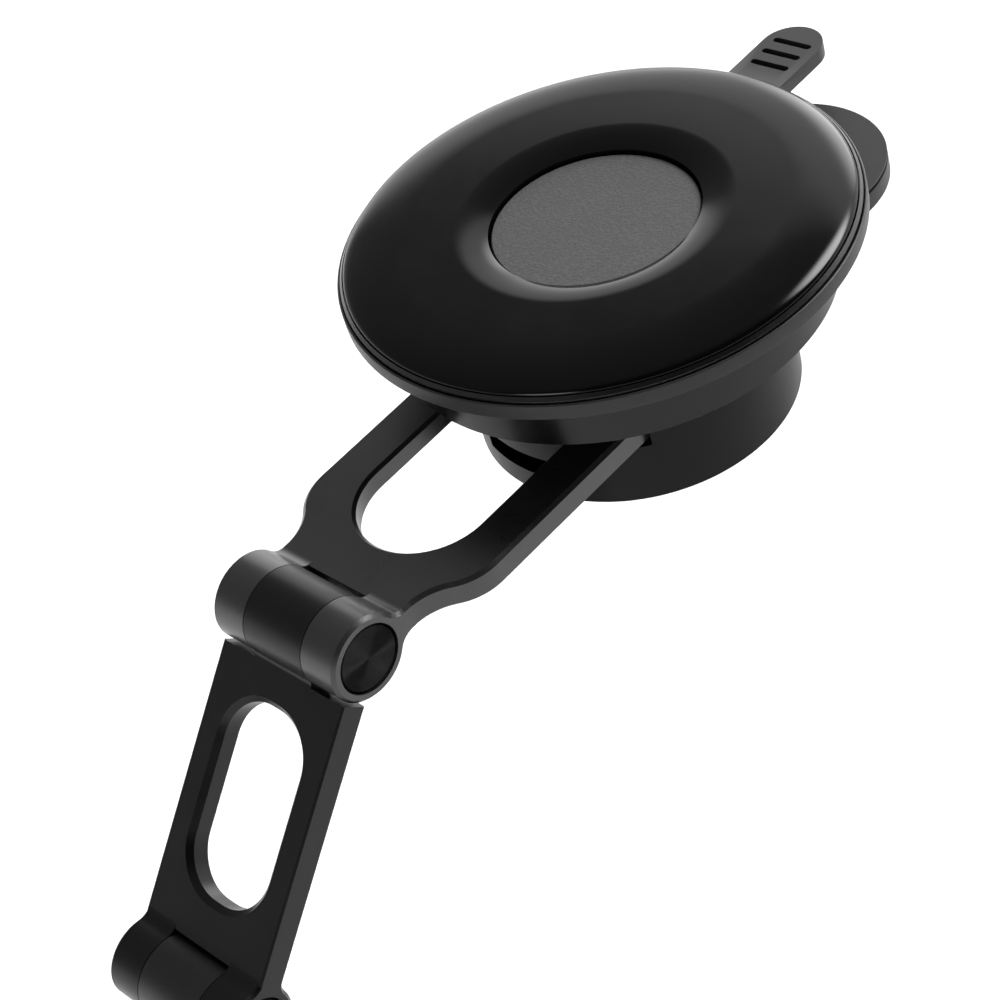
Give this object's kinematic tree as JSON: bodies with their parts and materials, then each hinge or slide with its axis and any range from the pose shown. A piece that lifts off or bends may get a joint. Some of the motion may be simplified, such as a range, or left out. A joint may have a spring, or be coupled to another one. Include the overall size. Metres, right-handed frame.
{
  "type": "car phone mount",
  "caption": "Suction base with a twist lock lever, swivelling turret, fork arm and hinged slotted link carrying a round magnetic phone head",
  "frame": {"origin": "centre of the suction face, on the flat land of the gel pad", "axes": "+Z out of the suction face, towards the glass; the arms reach towards -X; hinge axes along Y"},
  "size_m": [0.1735, 0.076, 0.1317],
  "materials": {
    "gel": "smooth glossy gel",
    "cup_rubber": "satin",
    "black_plastic": "satin, fine grain",
    "centre_plastic": "matte, leather grain",
    "arm_black": "satin black",
    "cap_black": "turned, satin black",
    "steel": "machined",
    "bearing_plastic": "natural nylon",
    "magnet": "nickel plated",
    "seal_rubber": "matte"
  },
  "bodies": {
    "base": {"gel_pad": "gel", "pad_carrier": "black_plastic", "suction_cup": "cup_rubber", "core_plate": "black_plastic", "housing": "black_plastic", "carrier_screws": "steel", "hub_clip": "steel", "return_spring": "steel"},
    "plunger": {"centre_plate": "centre_plastic", "wiper_seal": "seal_rubber", "pull_rod": "steel", "cross_pin": "steel"},
    "lever_body": {"lever": "black_plastic", "cam_ring": "bearing_plastic"},
    "turret": {"turret_shell": "black_plastic", "turret_cover": "black_plastic", "cover_screws": "steel", "swivel_ring": "bearing_plastic", "swivel_screws": "steel", "fork_arm": "arm_black", "fork_screws": "steel", "hinge_a_pin": "steel", "hinge_a_caps": "cap_black"},
    "link": {"link_arm": "arm_black", "hinge_a_bushing": "bearing_plastic", "hinge_b_pin": "steel", "hinge_b_caps": "cap_black"},
    "head": {"head_frame": "arm_black", "hinge_b_bushing": "bearing_plastic", "yoke_plate": "steel", "magnets": "magnet", "head_plate": "black_plastic", "face_pad": "seal_rubber", "head_screws": "steel"}
  },
  "joints": [
    {"name": "turret_swivel", "type": "hinge", "parent": "base", "child": "turret", "pos_m": [0, 0, 0], "axis": [0, 0, 1], "continuous": true},
    {"name": "lever_twist", "type": "hinge", "parent": "base", "child": "lever_body", "pos_m": [0, 0, 0], "axis": [0, 0, 1], "range_deg": [0, 40]},
    {"name": "plunger_slide", "type": "slide", "parent": "base", "child": "plunger", "axis": [0, 0, -1], "range_m": [0, 0.002], "deforming": ["return_spring"]},
    {"name": "hinge_a", "type": "hinge", "parent": "turret", "child": "link", "pos_m": [-0.0665, 0, -0.024], "axis": [0, 1, 0], "range_deg": [-65, 90]},
    {"name": "hinge_b", "type": "hinge", "parent": "link", "child": "head", "pos_m": [-0.10353, 0, -0.06399], "axis": [0, 1, 0], "range_deg": [-60, 120]}
  ],
  "couplings": [
    {"joint": "plunger_slide", "follows": "lever_twist", "m_per_rad": 0.0028647}
  ]
}
